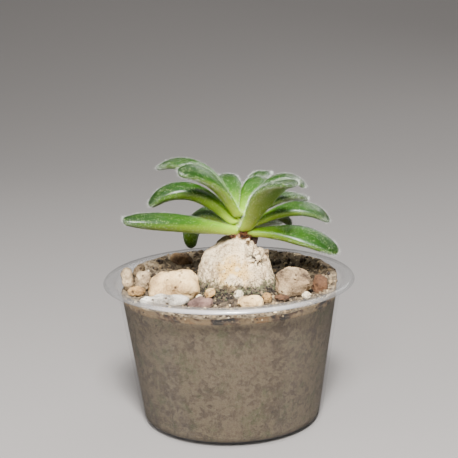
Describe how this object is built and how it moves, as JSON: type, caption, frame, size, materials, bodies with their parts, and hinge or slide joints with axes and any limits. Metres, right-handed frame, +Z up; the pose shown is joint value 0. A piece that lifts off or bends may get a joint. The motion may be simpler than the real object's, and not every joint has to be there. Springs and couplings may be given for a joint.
{
  "type": "potted caudex succulent",
  "caption": "Small caudex-forming succulent with arching, fleshy, white-haired leaves, growing in gritty soil and pebbles in a clear round plastic cup with a flat rim.",
  "frame": {"origin": "centre of the cup's base, on the surface that it stands on", "axes": "+Z up; the picture's view looks along +Y, with +X to the right"},
  "size_m": [0.075, 0.075, 0.0799],
  "materials": {
    "clear_plastic": "clear, glossy",
    "soil": "gritty, matte",
    "bark": "peeling bark, matte",
    "leaf": "satin, with fine white hairs",
    "cream_stone": "rough, matte",
    "ochre_stone": "rough, matte",
    "grey_stone": "speckled, matte",
    "pink_stone": "rough, matte",
    "brown_stone": "smooth, matte",
    "white_stone": "rough, matte"
  },
  "bodies": {
    "root": {"cup": "clear_plastic", "soil": "soil", "caudex": "bark", "leaf_01": "leaf", "leaf_02": "leaf", "leaf_03": "leaf", "leaf_04": "leaf", "leaf_05": "leaf", "leaf_06": "leaf", "leaf_07": "leaf", "leaf_08": "leaf", "leaf_09": "leaf", "leaf_10": "leaf", "leaf_11": "leaf", "leaf_12": "leaf", "leaf_13": "leaf", "leaf_14": "leaf", "leaf_15": "leaf", "stone_01": "cream_stone", "stone_02": "cream_stone", "stone_03": "cream_stone", "stone_04": "cream_stone", "stone_05": "ochre_stone", "stone_06": "grey_stone", "stone_07": "pink_stone", "stone_08": "cream_stone", "stone_09": "ochre_stone", "stone_10": "brown_stone", "stone_11": "cream_stone", "stone_12": "brown_stone", "stone_13": "ochre_stone", "stone_14": "white_stone", "stone_15": "ochre_stone", "stone_16": "white_stone", "stone_17": "white_stone"}
  },
  "joints": []
}
